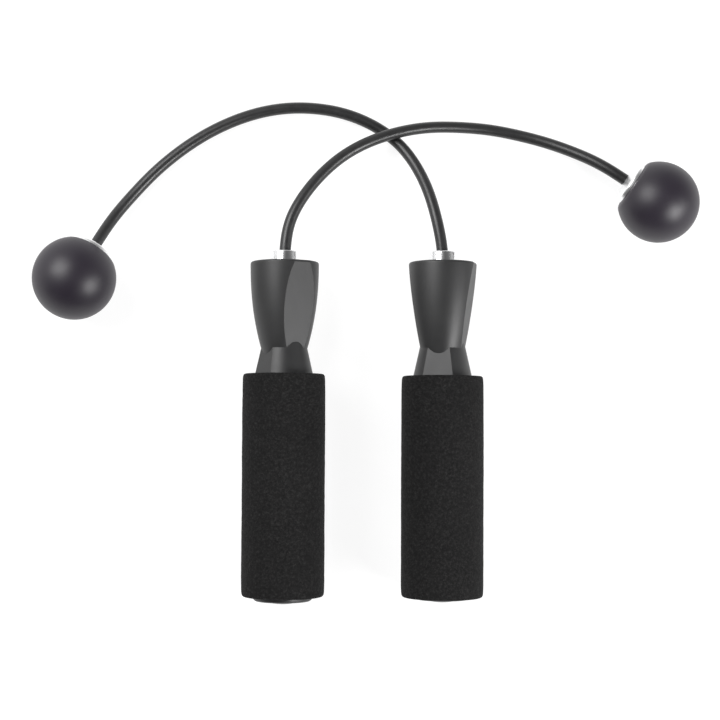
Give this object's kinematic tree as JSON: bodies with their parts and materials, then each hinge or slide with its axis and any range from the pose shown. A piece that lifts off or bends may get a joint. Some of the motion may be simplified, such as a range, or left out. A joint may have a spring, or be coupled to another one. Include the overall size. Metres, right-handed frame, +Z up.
{
  "type": "jump rope",
  "caption": "Cordless jump rope: foam-grip handles with ball-bearing swivel heads, each turning a short stiff cord with a weighted ball at its end.",
  "frame": {"origin": "middle of the footprint of the two handles and the two balls, on the surface that they lie on", "axes": "+X runs from the left handle towards the right one, +Y runs along both handles towards the ends where the cords come out, +Z is up from the surface"},
  "size_m": [0.3137, 0.2379, 0.0386],
  "materials": {
    "grip_foam": "matte",
    "core_plastic": "matte",
    "head_plastic": "satin",
    "plug_plastic": "satin",
    "end_disc_plastic": "satin",
    "bearing_steel": "polished",
    "cage_brass": "satin",
    "bushing_chrome": "polished",
    "spring_steel": "satin",
    "crimp_brass": "satin",
    "cord_vinyl": "satin",
    "cap_chrome": "polished",
    "ball_rubber": "satin"
  },
  "bodies": {
    "handle_right": {"foam_grip_right": "grip_foam", "handle_core_right": "core_plastic", "handle_head_right": "head_plastic", "head_cap_right": "head_plastic", "end_plug_right": "plug_plastic", "end_disc_right": "end_disc_plastic", "bearing_outer_race_right": "bearing_steel"},
    "swivel_right": {"bearing_inner_race_right": "bearing_steel", "swivel_bushing_right": "bushing_chrome", "snap_ring_right": "spring_steel", "handle_crimp_right": "crimp_brass", "cord_right": "cord_vinyl", "ball_cap_right": "cap_chrome", "weight_ball_right": "ball_rubber", "ball_crimp_right": "crimp_brass"},
    "bearing_set_right": {"bearing_balls_right": "bearing_steel", "bearing_cage_right": "cage_brass"},
    "handle_left": {"foam_grip_left": "grip_foam", "handle_core_left": "core_plastic", "handle_head_left": "head_plastic", "head_cap_left": "head_plastic", "end_plug_left": "plug_plastic", "end_disc_left": "end_disc_plastic", "bearing_outer_race_left": "bearing_steel"},
    "swivel_left": {"bearing_inner_race_left": "bearing_steel", "swivel_bushing_left": "bushing_chrome", "snap_ring_left": "spring_steel", "handle_crimp_left": "crimp_brass", "cord_left": "cord_vinyl", "ball_cap_left": "cap_chrome", "weight_ball_left": "ball_rubber", "ball_crimp_left": "crimp_brass"},
    "bearing_set_left": {"bearing_balls_left": "bearing_steel", "bearing_cage_left": "cage_brass"}
  },
  "joints": [
    {"name": "lift_left_handle", "type": "slide", "parent": "handle_right", "child": "handle_left", "axis": [0, 0, 1], "range_m": [0, 0.25]},
    {"name": "cord_swivel_right", "type": "hinge", "parent": "handle_right", "child": "swivel_right", "pos_m": [0.03415, 0.05475, 0.0193], "axis": [0, 1, 0], "continuous": true},
    {"name": "bearing_roll_right", "type": "hinge", "parent": "handle_right", "child": "bearing_set_right", "pos_m": [0.03415, 0.04725, 0.0193], "axis": [0, 1, 0], "continuous": true},
    {"name": "cord_swivel_left", "type": "hinge", "parent": "handle_left", "child": "swivel_left", "pos_m": [-0.0402, 0.0541, 0.0193], "axis": [0, -1, 0], "continuous": true},
    {"name": "bearing_roll_left", "type": "hinge", "parent": "handle_left", "child": "bearing_set_left", "pos_m": [-0.0402, 0.0466, 0.0193], "axis": [0, -1, 0], "continuous": true}
  ],
  "couplings": [
    {"joint": "bearing_roll_right", "follows": "cord_swivel_right", "ratio": 0.37},
    {"joint": "bearing_roll_left", "follows": "cord_swivel_left", "ratio": 0.37}
  ]
}
